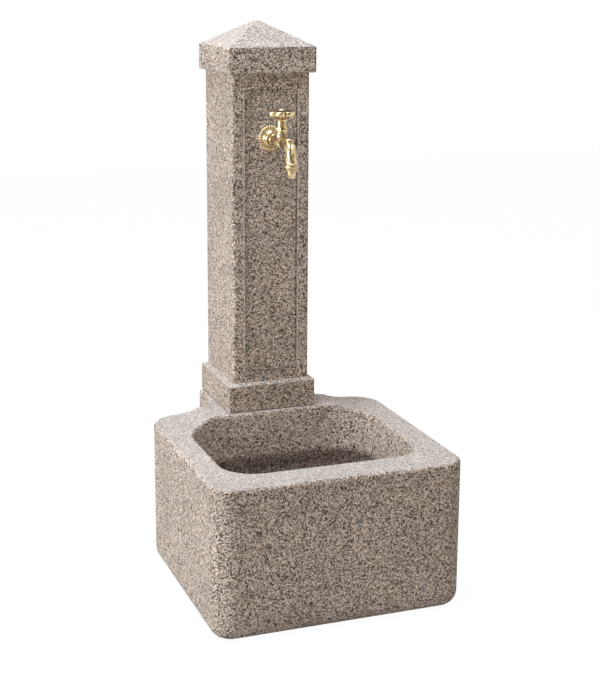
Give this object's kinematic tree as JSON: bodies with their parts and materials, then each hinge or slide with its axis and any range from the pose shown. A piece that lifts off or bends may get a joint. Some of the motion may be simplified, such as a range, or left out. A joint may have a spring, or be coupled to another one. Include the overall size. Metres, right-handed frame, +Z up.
{
  "type": "garden fountain",
  "caption": "Free-standing stone garden fountain: square basin with a bowl, square column with a pyramid top, and an ornamental screw-down tap.",
  "frame": {"origin": "on the ground under the middle of the fountain's bounding box", "axes": "+X to the right seen from the front, +Y from the tap's side towards the back, +Z up"},
  "size_m": [0.5, 0.6, 1.1],
  "materials": {
    "cast_stone": "speckled cast stone with a granulated face",
    "mortar": "dark grey bedding mortar",
    "polished_brass": "polished gold brass",
    "plain_brass": "machined brass",
    "galvanised_steel": "galvanised",
    "stainless_steel": "brushed stainless",
    "black_rubber": "plain black",
    "fibre_packing": "greased fibre cord",
    "grey_plastic": "grey pipe plastic"
  },
  "bodies": {
    "fountain": {"basin": "cast_stone", "column": "cast_stone", "bedding_joint": "mortar", "column_dowels": "galvanised_steel", "riser_pipe": "galvanised_steel", "lower_elbow": "galvanised_steel", "upper_elbow": "galvanised_steel", "inlet_nipple": "plain_brass", "inlet_locknuts": "plain_brass", "tap_extension": "plain_brass", "inlet_washers": "black_rubber", "rosette": "polished_brass", "tap_body": "polished_brass", "bonnet": "polished_brass", "gland_nut": "polished_brass", "union_nut": "polished_brass", "hose_nozzle": "polished_brass", "bonnet_gasket": "fibre_packing", "gland_packing": "fibre_packing", "nozzle_gasket": "black_rubber", "waste_body": "plain_brass", "waste_backnut": "plain_brass", "waste_gaskets": "black_rubber", "strainer": "stainless_steel", "strainer_screw": "stainless_steel", "drain_elbow": "grey_plastic", "drain_pipe": "grey_plastic"},
    "valve": {"jumper": "plain_brass", "valve_washer": "black_rubber", "washer_nut": "plain_brass"},
    "handle": {"spindle": "plain_brass", "handwheel": "polished_brass", "handwheel_screw": "plain_brass"}
  },
  "joints": [
    {"name": "valve_lift", "type": "slide", "parent": "fountain", "child": "valve", "axis": [0, 0, 1], "range_m": [0, 0.00625]},
    {"name": "handle_turn", "type": "hinge", "parent": "valve", "child": "handle", "pos_m": [0, 0.0465, 0.9], "axis": [0, 0, 1], "range_deg": [0, 900]}
  ],
  "couplings": [
    {"joint": "valve_lift", "follows": "handle_turn", "m_per_rad": 0.00039789}
  ]
}
